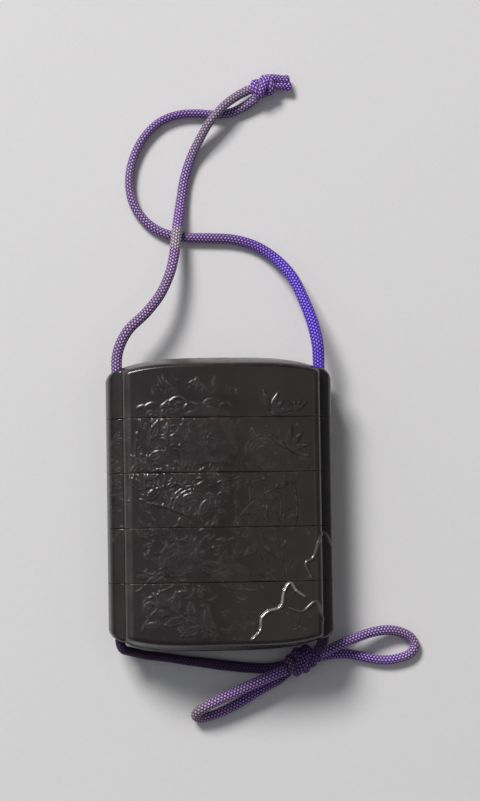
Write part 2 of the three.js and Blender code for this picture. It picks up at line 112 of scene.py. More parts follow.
RIGHT_LOOP = [
    (27, -41.4, 6.9), (29.6, -40.3, 6.9), (33, -38.8, 6.6), (37.4, -37.2, 5.7), (41.9, -35.9, 4.6),
    (46.5, -35.4, 3.4), (50.4, -36.1, 2.3), (53.3, -37.7, 1.6), (54.4, -39.8, 1.6), (53.2, -41.9, 1.6),
    (50.2, -43.2, 1.6), (46.2, -43.7, 1.6), (42.5, -43.3, 1.6), (38.8, -42.4, 1.6), (35.4, -41.8, 1.8),
    (31.4, -41.8, 2.4), (27.4, -42.4, 3.2),
]
LEFT_LOOP = [
    (17.8, -45.4, 6.8), (13.4, -47.1, 7.2), (8.6, -49.1, 7.4), (3.6, -51.2, 7.2), (-1, -53.3, 6.8),
    (-4.6, -55.2, 5.9), (-6.4, -56.6, 4.5), (-6.6, -57.8, 2.9), (-5.2, -58.4, 1.8), (-2.8, -57.9, 1.6),
    (0, -57, 1.6), (3.2, -55.6, 1.6), (6.6, -53.8, 1.6), (10.2, -51.6, 1.6), (13.4, -49.8, 1.7),
    (16.5, -48.1, 2.4),
]
END_KNOT = (14.5, 115.1, 3.2)
END_KNOT_TURN = 0.42         # radians, as seen from above
BOW_KNOT = (22.3, -43.0, 4.9)
BOW_KNOT_TURN = 0.5


# ------------------------------------------------------------------ camera
EYE = (-63.52, 0, 671.73)
AIM = (5.79, 27.94, 12)      # the place it looks at
ROLL = 0.88                  # degrees
LENS = 110                   # focal length
SENSOR = 36                  # width of the film


def place_camera():
    """Nearly straight above the case, a little to its left, with the case turned slightly in the frame."""
    eye, aim = Vector(EYE) * MM, Vector(AIM) * MM
    roll = math.radians(ROLL)
    ahead = (aim - eye).normalized()
    right = ahead.cross(Vector((0, 1, 0))).normalized()
    up = right.cross(ahead)
    rolled_right = right * math.cos(roll) - up * math.sin(roll)
    rolled_up = right * math.sin(roll) + up * math.cos(roll)
    turn = Matrix((rolled_right, rolled_up, -ahead)).transposed().to_4x4()
    camera = bpy.data.objects.new("camera", bpy.data.cameras.new("camera"))
    camera.matrix_world = Matrix.Translation(eye) @ turn
    camera.data.lens = LENS
    camera.data.sensor_width = SENSOR
    bpy.context.scene.collection.objects.link(camera)
    bpy.context.scene.camera = camera


# ------------------------------------------------------------------ mesh helpers
MERGE_DISTANCE = 1e-7        # metres
SMOOTH_UNDER = 50            # degrees between faces that are shaded as one


def wrapped_sheet(name, places):
    """A grid sheet whose points are moved to places[row][column]."""
    rows, columns = places.shape[:2]
    bpy.ops.object.select_all(action="DESELECT")
    bpy.ops.mesh.primitive_grid_add(x_subdivisions=columns - 1, y_subdivisions=rows - 1, size=1)
    piece = bpy.context.active_object
    piece.name = piece.data.name = name
    piece.data.vertices.foreach_set("co", (places * MM).astype(np.float32).ravel())
    piece.data.update()
    return piece


def close_sheet(piece):
    """Merges the points that meet and turns every face outwards."""
    bpy.ops.object.select_all(action="DESELECT")
    bpy.context.view_layer.objects.active = piece
    piece.select_set(True)
    bpy.ops.object.mode_set(mode="EDIT")
    bpy.ops.mesh.select_all(action="SELECT")
    bpy.ops.mesh.remove_doubles(threshold=MERGE_DISTANCE)
    bpy.ops.mesh.normals_make_consistent(inside=False)
    bpy.ops.object.mode_set(mode="OBJECT")
    bpy.ops.object.shade_smooth_by_angle(angle=math.radians(SMOOTH_UNDER))


def mark(piece, name, values):
    """Stores one number a point, for the materials."""
    layer = piece.data.attributes.new(name, "FLOAT", "POINT")
    layer.data.foreach_set("value", np.asarray(values, np.float32).ravel())


def finish_piece(piece, material, node):
    """Gives the piece its finish, and puts it in the place of its CAD node."""
    piece.data.materials.clear()
    piece.data.materials.append(material)
    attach(piece, "root")
    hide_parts(node)


# ------------------------------------------------------------------ cord
STRAND_SIDES = 48
STRAND_STEP = 0.22          # between rings of points along a cord
PLAIT_COLUMNS = 12          # floats of yarn side by side round the cord
PLAIT_PITCH = 0.95          # length of one float
PLAIT_SLANT = 0.3           # how far a float leans, of its own length
FLOAT_RISE = 0.13           # how far a float of yarn stands proud
FLOAT_LEVEL = 0.62          # share of that rise at which the cord has its nominal size
CURVE_STEPS = 24            # between two points of a route
CUT_FLARE = 0.16            # how much wider a cut end spreads
THINNEST = 0.02


def smooth_path(points, step):
    """A centripetal curve through the points, resampled evenly."""
    points = [np.array(p, float) for p in points]
    ends = [2 * points[0] - points[1]] + points + [2 * points[-1] - points[-2]]
    curve = []
    for a, b, c, d in zip(ends, ends[1:], ends[2:], ends[3:]):
        t1 = np.linalg.norm(b - a) ** 0.5
        t2 = t1 + np.linalg.norm(c - b) ** 0.5
        t3 = t2 + np.linalg.norm(d - c) ** 0.5
        for t in np.linspace(t1, t2, CURVE_STEPS, endpoint=False):
            ab = (t1 - t) / t1 * a + t / t1 * b
            bc = (t2 - t) / (t2 - t1) * b + (t - t1) / (t2 - t1) * c
            cd = (t3 - t) / (t3 - t2) * c + (t - t2) / (t3 - t2) * d
            abc = (t2 - t) / t2 * ab + t / t2 * bc
            bcd = (t3 - t) / (t3 - t1) * bc + (t - t1) / (t3 - t1) * cd
            curve.append((t2 - t) / (t2 - t1) * abc + (t - t1) / (t2 - t1) * bcd)
    curve = np.array(curve + [points[-1]])
    along = np.concatenate([[0], np.cumsum(np.linalg.norm(np.diff(curve, axis=0), axis=1))])
    even = np.linspace(0, along[-1], max(3, round(along[-1] / step) + 1))
    return np.column_stack([np.interp(even, along, curve[:, i]) for i in range(3)]), even


def carried_frames(path):
    """Two directions across the path at each of its points, without twist."""
    tangents = np.gradient(path, axis=0)
    tangents /= np.linalg.norm(tangents, axis=1)[:, None]
    side = np.cross(tangents[0], [0, 0, 1.0])
    if np.linalg.norm(side) < 0.1:
        side = np.cross(tangents[0], [0, 1.0, 0])
    sides = []
    for tangent in tangents:
        side = side - tangent * side.dot(tangent)
        side = side / np.linalg.norm(side)
        sides.append(side)
    sides = np.array(sides)
    return sides, np.cross(tangents, sides)


def plait_height(around, along):
    """How far the plaited yarn stands proud at a place round the cord (0 to 1) and along it, in mm."""
    column = np.floor(around * PLAIT_COLUMNS)
    across = around * PLAIT_COLUMNS - column - 0.5
    slant = np.where(column % 2 == 0, 1, -1)
    phase = along / PLAIT_PITCH + 0.5 * (column % 2) + PLAIT_SLANT * slant * across
    lengthwise = phase - np.floor(phase) - 0.5
    crown_across = np.clip(1 - (across / 0.5) ** 2, 0, 1) ** 0.5
    crown_along = np.clip(1 - (lengthwise / 0.5) ** 2, 0, 1) ** 0.5
    return FLOAT_RISE * (crown_across * crown_along - FLOAT_LEVEL)


def seen_width(tangents, sides, directions, half_wide, radius):
    """How far the cord reaches each way: flatter where it is wide, and no taller where it is thin."""
    level = np.cross(tangents, [0, 0, 1.0])
    length = np.linalg.norm(level, axis=1)[:, None]
    level = np.where(length > 0.1, level / np.maximum(length, 0.1), sides)
    across = np.einsum("rcx,rx->rc", directions, level) ** 2
    half_high = np.minimum(radius ** 2 / half_wide, radius)
    return 1 / np.sqrt(across / half_wide[:, None] ** 2 + (1 - across) / half_high[:, None] ** 2)


def plaited_tube(name, points, tones, widths=None, radius=CORD_RADIUS, cut_end=False):
    """A closed tube of plaited silk. Its UV map holds the place round the cord and the floats along it.

    tones: (distance along, how vivid, how faded, darkening, painted shade under the case and in knots).
    widths: (distance, width seen from above).
    """
    path, along = smooth_path(points, STRAND_STEP)
    sides, ups = carried_frames(path)
    around = np.linspace(0, 1, STRAND_SIDES + 1)
    grid_around, grid_along = np.meshgrid(around, along)
    angle = 2 * math.pi * grid_around
    directions = np.cos(angle)[..., None] * sides[:, None, :] + np.sin(angle)[..., None] * ups[:, None, :]
    half_wide = np.full(len(along), radius)
    if widths:
        half_wide = np.interp(along, *zip(*widths)) / 2
    tangents = np.cross(sides, ups)
    reach = seen_width(tangents, sides, directions, half_wide, radius)
    if cut_end:
        left_over = np.clip((along[-1] - along) / radius, 0, 1)
        reach *= ((1 - (1 - left_over) ** 3) ** 0.5 * (1 + CUT_FLARE * (left_over < 1)))[:, None]
    reach = reach + plait_height(grid_around % 1.0, grid_along) * radius / CORD_RADIUS
    rings = path[:, None, :] + np.maximum(reach, THINNEST)[..., None] * directions
    caps = [np.repeat(path[i][None, None, :], STRAND_SIDES + 1, axis=1) for i in (0, -1)]
    piece = wrapped_sheet(name, np.concatenate([caps[0], rings, caps[1]]))
    v = np.concatenate([[along[0]], along, [along[-1]]]) / PLAIT_PITCH
    write_uv(piece, around, v)
    distance, vivid, faded, darkening = zip(*tones)
    for layer, values in (("vivid", vivid), ("faded", faded), ("darkening", darkening)):
        tone = np.interp(along, distance, values)
        mark(piece, layer, np.repeat(np.concatenate([tone[:1], tone, tone[-1:]]), STRAND_SIDES + 1))
    close_sheet(piece)
    return piece, path


def write_uv(piece, u, v):
    """Gives each corner the u of its column and the v of its row, before the sheet is closed."""
    columns = len(u)
    corner = np.zeros(len(piece.data.loops), np.int32)
    piece.data.loops.foreach_get("vertex_index", corner)
    while piece.data.uv_layers:
        piece.data.uv_layers.remove(piece.data.uv_layers[0])
    layer = piece.data.uv_layers.new(name="plait")
    layer.data.foreach_set("uv", np.column_stack([u[corner % columns], v[corner // columns]]).ravel())


# ------------------------------------------------------------------ knots
RING_POINTS = 15
RING_TURN = 13.6            # points to a full turn, so that the ends of a ring pass each other
RING_DRIFT = 0.3            # how far a ring runs along the knot


def seen_from_knot(place, turn, points):
    """Points given from a knot's middle, with x along the knot, put where the knot lies."""
    return [(place[0] + x * math.cos(turn) - y * math.sin(turn),
             place[1] + x * math.sin(turn) + y * math.cos(turn), place[2] + z) for x, y, z in points]


def ring_of_cord(shift, width, height, lean):
    """One turn of cord round a knot, seen from the knot: across its line, leaning along it."""
    points = []
    for i in range(RING_POINTS):
        angle = 2 * math.pi * i / RING_TURN
        drift = RING_DRIFT * (i / (RING_POINTS - 1) - 0.5)
        points.append((shift + lean * math.sin(angle) + drift, width * math.cos(angle),
                       height * math.sin(angle)))
    return points


def joined(name, pieces):
    bpy.ops.object.select_all(action="DESELECT")
    for piece in pieces:
        piece.select_set(True)
    bpy.context.view_layer.objects.active = pieces[0]
    bpy.ops.object.join()
    pieces[0].name = pieces[0].data.name = name
    return pieces[0]


def end_knot():
    """Both strands in one pulled-tight overhand knot, with two short cut ends."""
    vivid, worn = [(0, 0.3, 0.1, 0)], [(0, 0.15, 0.4, 0.1)]
    over = [(-2.8, -1.5, 0.4), (-1.4, -1.0, 1.7), (0.4, 0.5, 2.1), (2.2, 1.7, 0.6)]
    upper_end = [(0.5, 1.5, 0.4), (2.4, 1.3, 0.6), (4.4, 0.5, 0), (6, -0.4, -0.4), (7.7, -1.1, -0.7)]
    lower_end = [(0.5, -1.2, -0.4), (2.4, -0.9, -0.4), (4.4, -1.4, -0.6), (6, -2.2, -0.8), (7.4, -2.9, -1.1)]
    turns = [
        (ring_of_cord(-1.5, 1.75, 1.5, -0.7), 1.2, False),
        (ring_of_cord(1.1, 1.85, 1.5, 0.8), 1.2, False),
        (over, 1.15, False),
        (upper_end, 1.2, True),
        (lower_end, 1.2, True),
    ]
    parts = []
    for i, (line, radius, cut) in enumerate(turns):
        line = seen_from_knot(END_KNOT, END_KNOT_TURN, line)
        parts.append(plaited_tube(f"part_{i}", line, vivid, radius=radius, cut_end=cut)[0])
    into = seen_from_knot(END_KNOT, END_KNOT_TURN, [(-1.2, 0.4, 0.2), (0.2, 0, 0)])
    for i, strand in enumerate((LEFT_STRAND, RIGHT_STRAND)):
        parts.append(plaited_tube(f"entry_{i}", [strand[-1]] + into, worn, radius=1.25)[0])
    return joined("end_knot_silk", parts)


def bow_knot():
    """The tight turns that hold both loops of the bow, darkened as painted shade."""
    dark, grey = [(0, 0.25, 0, 0.65)], [(0, 0, 0.35, 0.6)]
    turns = [
        (ring_of_cord(-2.5, 2.0, 1.9, -0.7), grey, 1.25),
        (ring_of_cord(-0.2, 2.45, 2.2, 0.4), dark, 1.4),
        (ring_of_cord(2.2, 2.1, 1.9, 0.4), dark, 1.3),
        ([(-4.2, -0.5, 1.2), (-2, -0.2, 1.4), (1, 0, 1.5), (4, 0.5, 1.6)], dark, 1.3),
        ([(-4.4, -0.4, -2), (-2, -0.3, -1.5), (1.4, 0.1, -1.4), (4.2, 0.2, -1.6)], dark, 1.3),
        ([(-3.2, -2.2, 0.6), (-1.2, -1.3, 2.5), (1.1, 0.8, 2.7), (2.8, 2.3, 0.8)], dark, 1.3),
    ]
    parts = []
    for i, (line, tones, radius) in enumerate(turns):
        line = seen_from_knot(BOW_KNOT, BOW_KNOT_TURN, line)
        parts.append(plaited_tube(f"part_{i}", line, tones, radius=radius)[0])
    for i, end in enumerate((BASE_STRAND[-1], LEFT_LOOP[-1], LEFT_LOOP[0], RIGHT_LOOP[0], RIGHT_LOOP[-1])):
        middle = tuple((2 * a + b) / 3 for a, b in zip(BOW_KNOT, end))
        parts.append(plaited_tube(f"entry_{i}", [end, middle, BOW_KNOT], dark, radius=1.4)[0])
    return joined("bow_knot_silk", parts)


# name, CAD node, route, tones and widths, as plaited_tube reads them
STRANDS = [
    ("left_strand", "cord_left_strand", LEFT_STRAND,
     [(0, 0.1, 0.3, 0.2), (20, 0, 0.35, 0.2), (36, 0.05, 0.3, 0.1), (40, 0.1, 0.1, 0), (41, 0, 1, 0),
      (46, 0, 1, 0), (47.5, 0.2, 0.15, 0), (66, 0.15, 0.3, 0), (74, 0.05, 0.75, 0.2), (93, 0.1, 0.6, 0.2)],
     [(0, 2.9), (30, 2.7), (46, 2.9), (66, 2.6), (82, 2.2), (93, 2.6)]),
    ("right_strand", "cord_right_strand", RIGHT_STRAND,
     [(0, 1, 0, 0), (30, 0.95, 0, 0), (42, 0.6, 0, 0.25), (50, 0.25, 0.15, 0.35), (66, 0.1, 0.25, 0.2),
      (90, 0.15, 0.35, 0.05), (112, 0.2, 0.1, 0.3), (124, 0.2, 0.25, 0.2), (134, 0.2, 0.4, 0.1)],
     [(0, 3.1), (10, 3.3), (40, 2.8), (60, 2.7), (100, 2.2), (120, 2.3), (134, 2.6)]),
    # the base strand and the right foot lie under the case: their darkening is painted shade
    ("base_strand", "cord_under_base", BASE_STRAND,
     [(0, 0, 0, 1.3), (30, 0, 0, 1.25), (40, 0.25, 0, 0.95), (52, 0.25, 0, 0.85)],
     [(0, 2.7), (6, 2.4), (24, 2.4), (34, 2.8), (52, 2.8)]),
    ("right_foot", "cord_right_foot", FOOT_STRAND, [(0, 0, 0, 1.3)], None),
    # the loops are darkened next to the bow knot as painted shade
    ("right_loop", "bow_loop_right", RIGHT_LOOP,
     [(0, 0.2, 0.15, 0.1), (18, 0.15, 0.25, 0), (30, 0.05, 0.45, 0.1), (42, 0.3, 0.1, 0), (60, 0.3, 0, 0.3)],
     [(0, 2.6), (20, 2.7), (34, 2.5), (63, 2.6)]),
    ("left_loop", "bow_loop_left", LEFT_LOOP,
     [(0, 0.2, 0.1, 0.3), (6, 0.2, 0.2, 0), (22, 0.15, 0.3, 0), (26, 0, 0.8, 0.2), (33, 0.1, 0.35, 0),
      (46, 0.2, 0.1, 0.1), (57, 0.2, 0, 0.6)],
     [(0, 2.9), (20, 2.9), (30, 2.6), (58, 3.0)]),
]


def lay_cords(silk):
    """Every free length of cord, lying as it was left, and the two knots."""
    laid = {}
    for name, _, route, tones, widths in STRANDS:
        laid[name] = plaited_tube(name, route, tones, widths)
    knot_end, knot_bow = end_knot(), bow_knot()
    for name, node, *_ in STRANDS:
        finish_piece(laid[name][0], silk, node)
    finish_piece(knot_end, silk, "end_knot")
    finish_piece(knot_bow, silk, "bow_knot")


# ------------------------------------------------------------------ materials
def new_material(name):
    material = bpy.data.materials.new(name)
    material.use_nodes = True
    tree = material.node_tree
    shader = tree.nodes["Principled BSDF"]
    return material, tree, shader


class Nodes:
    """Short ways to add and link the nodes of one material."""

    def __init__(self, tree):
        self.tree = tree

    def add(self, kind, inputs=None, **settings):
        node = self.tree.nodes.new(kind)
        for key, value in settings.items():
            setattr(node, key, value)
        for key, value in (inputs or {}).items():
            if isinstance(value, bpy.types.NodeSocket):
                self.tree.links.new(value, node.inputs[key])
            else:
                node.inputs[key].default_value = value
        return node

    def math(self, operation, a, b=0.0, clamp=False):
        node = self.add("ShaderNodeMath", {0: a, 1: b}, operation=operation, use_clamp=clamp)
        return node.outputs[0]

    def plus(self, a, b, clamp=False):
        return self.math("ADD", a, b, clamp)

    def minus(self, a, b):
        return self.math("SUBTRACT", a, b)

    def times(self, a, b, clamp=False):
        return self.math("MULTIPLY", a, b, clamp)

    def mix(self, factor, a, b):
        node = self.add("ShaderNodeMix", data_type="RGBA")
        for index, value in ((0, factor), (6, a), (7, b)):
            if isinstance(value, bpy.types.NodeSocket):
                self.tree.links.new(value, node.inputs[index])
            else:
                node.inputs[index].default_value = value
        return node.outputs[2]

    def ramp(self, value, low, high, first=0.0, last=1.0):
        """The first result at low, the last one at high, straight between."""
        node = self.add("ShaderNodeMapRange", {"Value": value, "From Min": low, "From Max": high,
                                               "To Min": first, "To Max": last})
        return node.outputs["Result"]

    def attribute(self, name):
        return self.add("ShaderNodeAttribute", attribute_name=name).outputs["Fac"]

    def noise(self, vector, scale, detail=3.0, roughness=0.5):
        node = self.add("ShaderNodeTexNoise",
                        {"Vector": vector, "Scale": scale, "Detail": detail, "Roughness": roughness})
        return node.outputs["Fac"]

    def link(self, output, socket):
        self.tree.links.new(output, socket)


# each dye, plain and vivid, what wear turns it to, the painted shade between floats, and the darkened yarn:
# painted shade under the case and in the knots
YARN = ((0.074, 0.013, 0.150, 1), (0.044, 0.007, 0.37, 1))
FLECK = ((0.66, 0.43, 0.76, 1), (0.30, 0.22, 0.80, 1))
FADED_YARN = (0.22, 0.19, 0.17, 1)
FADED_FLECK = (0.66, 0.61, 0.56, 1)
YARN_IN_SHADE = (0.014, 0.004, 0.035, 1)
DARKENED_YARN = (0.021, 0.006, 0.034, 1)
FLECK_SHIFT = 0.08           # along its float, of the float's length
FLECK_HALF_LONG = 0.24
FLECK_HALF_WIDE = 0.38       # of the float's width


def silk_material():
    """Violet plaited silk, a pale fleck on each float, greyer where worn, painted shade in its grooves,
    darker where darkened.
    """
    material, tree, shader = new_material("violet_silk")
    n = Nodes(tree)
    place = n.add("ShaderNodeTexCoord").outputs["Object"]
    uv = n.add("ShaderNodeUVMap", uv_map="plait").outputs["UV"]
    split = n.add("ShaderNodeSeparateXYZ", {"Vector": uv})
    around = n.times(split.outputs["X"], PLAIT_COLUMNS)
    column = n.math("FLOOR", around)
    odd = n.math("MODULO", column, 2.0)
    across = n.minus(n.minus(around, column), 0.5)
    slant = n.minus(1.0, n.times(odd, 2.0))
    lean = n.times(n.times(slant, across), PLAIT_SLANT)
    phase = n.plus(n.plus(split.outputs["Y"], n.times(odd, 0.5)), lean)
    lengthwise = n.minus(n.math("FRACT", phase), 0.5)
    fleck_long = n.math("DIVIDE", n.minus(lengthwise, FLECK_SHIFT), FLECK_HALF_LONG)
    fleck_wide = n.math("DIVIDE", across, FLECK_HALF_WIDE)
    from_middle = n.plus(n.math("POWER", fleck_long, 2.0), n.math("POWER", fleck_wide, 2.0))
    fleck = n.ramp(from_middle, 1.15, 0.6)
    blotch = n.noise(place, 220.0, 2.0)
    uneven = n.times(n.minus(blotch, 0.5), 0.6)
    vivid = n.attribute("vivid")
    faded = n.plus(n.attribute("faded"), uneven, clamp=True)
    darkening = n.plus(n.attribute("darkening"), uneven, clamp=True)
    violet = n.mix(vivid, *YARN)
    pale = n.mix(vivid, *FLECK)
    violet = n.mix(n.times(faded, 0.6), violet, FADED_YARN)
    pale = n.mix(n.times(faded, 0.8), pale, FADED_FLECK)
    # painted shade: the grooves between the columns of yarn are darkened
    valley = n.ramp(n.times(n.times(across, across), 4.0), 0.3, 1.0)
    violet = n.mix(n.times(valley, 0.5), violet, YARN_IN_SHADE)
    base = n.mix(n.times(fleck, 0.95), violet, pale)
    # darker yarn where the darkening tone is set; under the case and in the knots this is painted shade
    base = n.mix(n.times(darkening, 0.9), base, DARKENED_YARN)
    n.link(base, shader.inputs["Base Color"])
    shader.inputs["Roughness"].default_value = 0.75
    shader.inputs["Specular IOR Level"].default_value = 0.3
    shader.inputs["Sheen Weight"].default_value = 0.08
    shader.inputs["Sheen Roughness"].default_value = 0.4
    threads = n.noise(place, 3500.0, 2.0)
    bump = n.add("ShaderNodeBump", {"Height": threads, "Strength": 0.35, "Distance": 0.0001})
    n.link(bump.outputs["Normal"], shader.inputs["Normal"])
    return material


LACQUER_THICK = (0.0085, 0.0055, 0.0053, 1)
LACQUER_THIN = (0.0175, 0.0128, 0.0122, 1)
RUBBED_RELIEF = (0.080, 0.078, 0.082, 1)
WORN_RIM = (0.060, 0.034, 0.022, 1)
# paler long edges: rubbed wear, and painted highlight on the left-hand edge
PALE_LONG_EDGE = (0.055, 0.044, 0.042, 1)
SILVER = (0.36, 0.35, 0.33, 1)
SILVER_METAL = 0.75          # how far the silver is bare metal


def lacquer_material():
    """Black-brown lacquer, semi-gloss, rubbed on raised work and brown along worn rims."""
    material, tree, shader = new_material("black_lacquer")
    n = Nodes(tree)
    place = n.add("ShaderNodeTexCoord").outputs["Object"]
    cloud = n.noise(place, 70.0, 5.0, 0.6)
    grain = n.noise(place, 900.0, 3.0)
    relief = n.attribute("relief")
    rim = n.attribute("rim")
    silver = n.attribute("silver")
    base = n.mix(n.ramp(cloud, 0.35, 0.7), LACQUER_THICK, LACQUER_THIN)
    rubbed = n.times(relief, n.ramp(n.noise(place, 300.0, 4.0, 0.6), 0.34, 0.62), clamp=True)
    base = n.mix(n.times(rubbed, 0.75), base, RUBBED_RELIEF)
    worn = n.times(rim, n.ramp(n.noise(place, 90.0, 5.0, 0.7), 0.5, 0.7), clamp=True)
    base = n.mix(n.times(worn, 0.7), base, WORN_RIM)
    # paler along the rounded long edges: rubbed wear, and painted highlight that makes the left edge paler
    # than the right
    patches = n.ramp(n.noise(place, 150.0, 3.0), 0.2, 0.6)
    edge = n.times(n.attribute("long_edge"), patches, clamp=True)
    base = n.mix(n.times(edge, 0.6), base, PALE_LONG_EDGE)
    base = n.mix(silver, base, SILVER)
    n.link(base, shader.inputs["Base Color"])
    gloss = n.ramp(cloud, 0.3, 0.7, 0.19, 0.27)
    dull = n.plus(n.times(worn, 0.25), n.times(relief, 0.2))
    n.link(n.plus(gloss, dull), shader.inputs["Roughness"])
    n.link(n.times(silver, SILVER_METAL), shader.inputs["Metallic"])
    bump = n.add("ShaderNodeBump", {"Height": grain, "Strength": 0.10, "Distance": 0.0002})
    n.link(bump.outputs["Normal"], shader.inputs["Normal"])
    return material


PAPER = ((0.62, 0.61, 0.612, 1), (0.66, 0.65, 0.652, 1))


def backdrop_material():
    material, tree, shader = new_material("pale_paper")
    n = Nodes(tree)
    place = n.add("ShaderNodeTexCoord").outputs["Object"]
    tone = n.noise(place, 900.0, 2.0)
    n.link(n.mix(tone, *PAPER), shader.inputs["Base Color"])
    shader.inputs["Roughness"].default_value = 0.9
    shader.inputs["Specular IOR Level"].default_value = 0.1
    return material


# ------------------------------------------------------------------ case outline, drawn across the length
FINE = 0.2                  # spacing of points on the carved front
COARSE = 1.2                # and on the plain back
OUTLINE_STEP = 0.05
GROOVE_SOFTNESS = 0.2       # how far the hollow beside a runner is rounded
COARSENING = 2.5            # depth below the middle over which the fine spacing turns coarse
SLOPE_REACH = 0.1           # to each side of a point, to find its outward direction
LONG_EDGE_SPREAD = 0.5        # how far the paleness spreads from a rounded long edge: rubbed wear with painted highlight
RIGHT_EDGE_SHARE = 0.3       # how much of it the right-hand long edge has; the left's extra paleness is painted highlight


def arc(centre, radius, start, end):
    count = max(3, int(abs(end - start) * radius / OUTLINE_STEP))
    angle = np.linspace(start, end, count, endpoint=False)
    return np.column_stack([centre[0] + radius * np.cos(angle), centre[1] + radius * np.sin(angle)])


def corner_middle():
    """Centre of the rounding on a panel's long edge, and how far the panel leans there."""
    x = PANEL_HALF_WIDTH - CORNER_RADIUS
    bow = HALF_THICKNESS - PANEL_RADIUS
    z = bow + math.sqrt((PANEL_RADIUS - CORNER_RADIUS) ** 2 - x ** 2)
    return x, z, math.atan2(x, z - bow)


def ridge_section():
    """The upper half of a ridge: a flattish side, a rounded crest and a slope up to the panel's wall."""
    parts, tip, start = [], (RUNNER_REACH, 0.0), 0.0
    for radius, until in RUNNER_ARCS:
        end = math.radians(until)
        centre = (tip[0] - radius * math.cos(start), tip[1] - radius * math.sin(start))
        parts.append(arc(centre, radius, start, end))
        tip = (centre[0] + radius * math.cos(end), centre[1] + radius * math.sin(end))
        start = end
    points = np.concatenate(parts)
    return points[points[:, 0] > PANEL_HALF_WIDTH]


def outer_outline():
    """The case cut across: bowed panels, rounded long edges and a ridge on each narrow side."""
    corner_x, corner_z, lean = corner_middle()
    ridge = ridge_section()
    wall_z = np.arange(ridge[-1, 1], corner_z, OUTLINE_STEP)
    quarter = math.pi / 2
    bow = PANEL_RADIUS - HALF_THICKNESS
    upper = np.concatenate([
        ridge,
        np.column_stack([np.full(len(wall_z), PANEL_HALF_WIDTH), wall_z]),
        arc((corner_x, corner_z), CORNER_RADIUS, 0, quarter - lean),
        arc((0, -bow), PANEL_RADIUS, quarter - lean, quarter),
        [[0, HALF_THICKNESS]],
    ])
    right = np.concatenate([upper[:0:-1] * [1, -1], upper])
    whole = np.concatenate([right, right[-2:0:-1] * [-1, 1]])
    half = int(GROOVE_SOFTNESS / OUTLINE_STEP)
    kernel = np.hanning(2 * half + 3)[1:-1]
    kernel /= kernel.sum()
    padded = np.concatenate([whole[-half:], whole, whole[:half]])
    return np.column_stack([np.convolve(padded[:, i], kernel, mode="valid") for i in range(2)])


def inside_outline(inset):
    """Outline of the inner walls, with small square corners."""
    width, thickness = SKIRT_HALF_WIDTH - inset, SKIRT_HALF_THICKNESS - inset
    x = width - SMALL_CORNER
    bow = thickness - PANEL_RADIUS
    z = bow + math.sqrt((PANEL_RADIUS - SMALL_CORNER) ** 2 - x ** 2)
    lean = math.atan2(x, z - bow)
    quarter = math.pi / 2
    right = np.concatenate([
        arc((0, -bow), PANEL_RADIUS, -quarter, -quarter + lean),
        arc((x, -z), SMALL_CORNER, -quarter + lean, 0),
        arc((x, z), SMALL_CORNER, 0, quarter - lean),
        arc((0, bow), PANEL_RADIUS, quarter - lean, quarter),
    ])
    return np.concatenate([right, [[0, thickness]], right[:0:-1] * [-1, 1]])


class Outline:
    """Points round the case, close together on the carved front, with the outward direction at each."""

    def __init__(self):
        whole = outer_outline()
        closed = np.concatenate([whole, whole[:1]])
        steps = np.linalg.norm(np.diff(closed, axis=0), axis=1)
        along = np.concatenate([[0], np.cumsum(steps)])
        front = np.clip((whole[:, 1] + COARSENING) / COARSENING, 0, 1)
        spacing = COARSE + (FINE - COARSE) * front
        density = np.concatenate([[0], np.cumsum(steps / spacing)])
        count = int(density[-1]) // 2 * 2
        at = np.interp(np.linspace(0, density[-1], count + 1), density, along)
        self.x = np.interp(at, along, closed[:, 0])
        self.z = np.interp(at, along, closed[:, 1])
        ahead, behind = (at + SLOPE_REACH) % along[-1], (at - SLOPE_REACH) % along[-1]
        tangent = np.column_stack([
            np.interp(ahead, along, closed[:, i]) - np.interp(behind, along, closed[:, i]) for i in range(2)])
        tangent /= np.linalg.norm(tangent, axis=1)[:, None]
        self.nx, self.nz = tangent[:, 1], -tangent[:, 0]
        corner_x, corner_z, _ = corner_middle()
        out = np.hypot(np.abs(self.x) - corner_x, self.z - corner_z)
        on_corner = (self.z > corner_z) * (np.abs(self.x) > corner_x)
        # paleness at the rounded long edges, weaker on the right: rubbed wear and painted highlight
        edge_paleness = np.exp(-((out - CORNER_RADIUS) / LONG_EDGE_SPREAD) ** 2)
        self.long_edge = edge_paleness * on_corner * np.where(self.x > 0, RIGHT_EDGE_SHARE, 1)
        self.angle = np.arctan2(self.x, -self.z)
        self.angle[0], self.angle[-1] = 0.0, 2 * math.pi
        self.angle = np.where(self.angle < 0, self.angle + 2 * math.pi, self.angle)

    def ring(self, inset):
        """The inner outline, with a point behind each point of the outer one."""
        inner = inside_outline(inset)
        angle = np.arctan2(inner[:, 0], -inner[:, 1]) % (2 * math.pi)
        order = np.argsort(angle)
        inner, angle = inner[order], angle[order]
        angle = np.concatenate([angle[-1:] - 2 * math.pi, angle, angle[:1] + 2 * math.pi])
        inner = np.concatenate([inner[-1:], inner, inner[:1]])
        return np.interp(self.angle, angle, inner[:, 0]), np.interp(self.angle, angle, inner[:, 1])


def crown(x, z):
    """Height of the domed ends above the middle of the case, runners included."""
    aside = np.minimum(np.abs(x) / PANEL_HALF_WIDTH, 1)
    up = (z / HALF_THICKNESS) ** 2
    panel = HALF_LENGTH - CROWN_SIDE_DROP * aside ** CROWN_POWER - CROWN_FACE_DROP * up
    out = np.maximum(0, np.abs(x) - RUNNER_SHOULDER) / (RUNNER_REACH - RUNNER_SHOULDER)
    runner = RUNNER_END - RUNNER_END_DROP * np.minimum(out, 1) ** RUNNER_END_POWER - RUNNER_FACE_DROP * up
    blend = np.clip((np.abs(x) - RUNNER_SHOULDER) / (PANEL_HALF_WIDTH - RUNNER_SHOULDER), 0, 1)
    return panel * (1 - blend) + runner * blend


